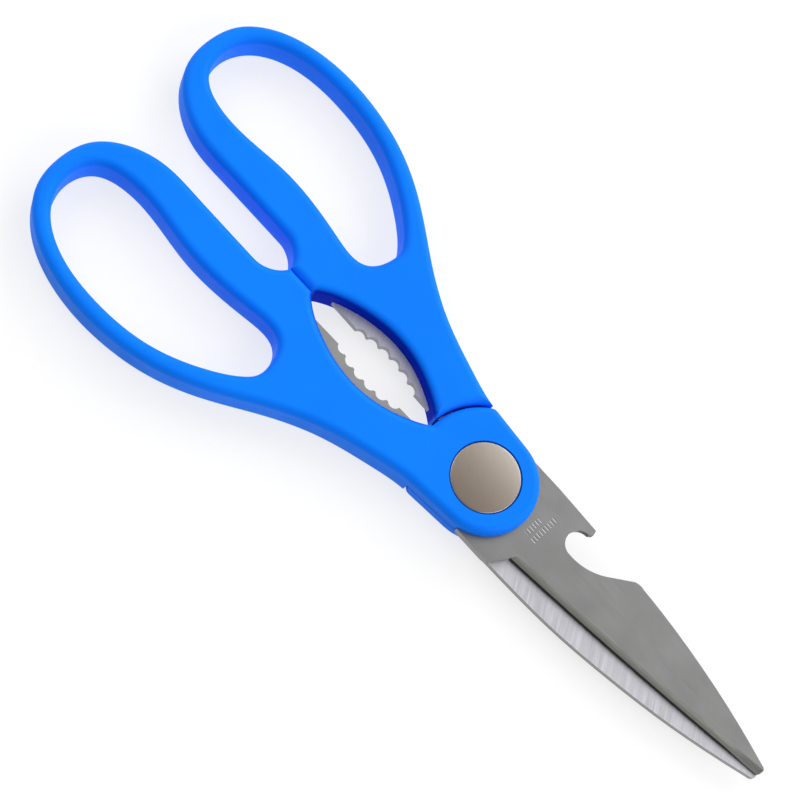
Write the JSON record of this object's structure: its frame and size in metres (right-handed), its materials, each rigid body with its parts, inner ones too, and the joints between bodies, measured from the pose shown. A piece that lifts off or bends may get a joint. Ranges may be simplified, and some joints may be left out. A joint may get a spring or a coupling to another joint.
{
  "type": "poultry shears",
  "caption": "Hand shears with two pivoted steel blades, moulded finger-loop handles, a toothed nutcracker eye, a bottle-opener notch and a cap on each face of the pivot.",
  "frame": {"origin": "on the pivot axis, in the flat outer face of the rear cap", "axes": "+Z along the rivet to the front cap, +Y along the centre line to the blade tips, +X to the front handle's side"},
  "size_m": [0.087, 0.2102, 0.0104],
  "materials": {
    "blade_steel": "satin ground stainless steel",
    "handle_plastic": "smooth moulded blue plastic, low sheen",
    "rivet_steel": "turned steel",
    "cap_metal": "warm nickel, fine straight brushing"
  },
  "bodies": {
    "rear_half": {"rear_blade": "blade_steel", "rear_handle": "handle_plastic", "rear_cap": "cap_metal", "pivot_rivet": "rivet_steel", "rear_washer": "rivet_steel", "spring_washer": "rivet_steel"},
    "front_half": {"front_blade": "blade_steel", "front_handle": "handle_plastic", "front_cap": "cap_metal"}
  },
  "joints": [
    {"name": "pivot_hinge", "type": "hinge", "parent": "rear_half", "child": "front_half", "pos_m": [0, 0, 0.0052], "axis": [0, 0, 1], "range_deg": [0, 80]}
  ]
}
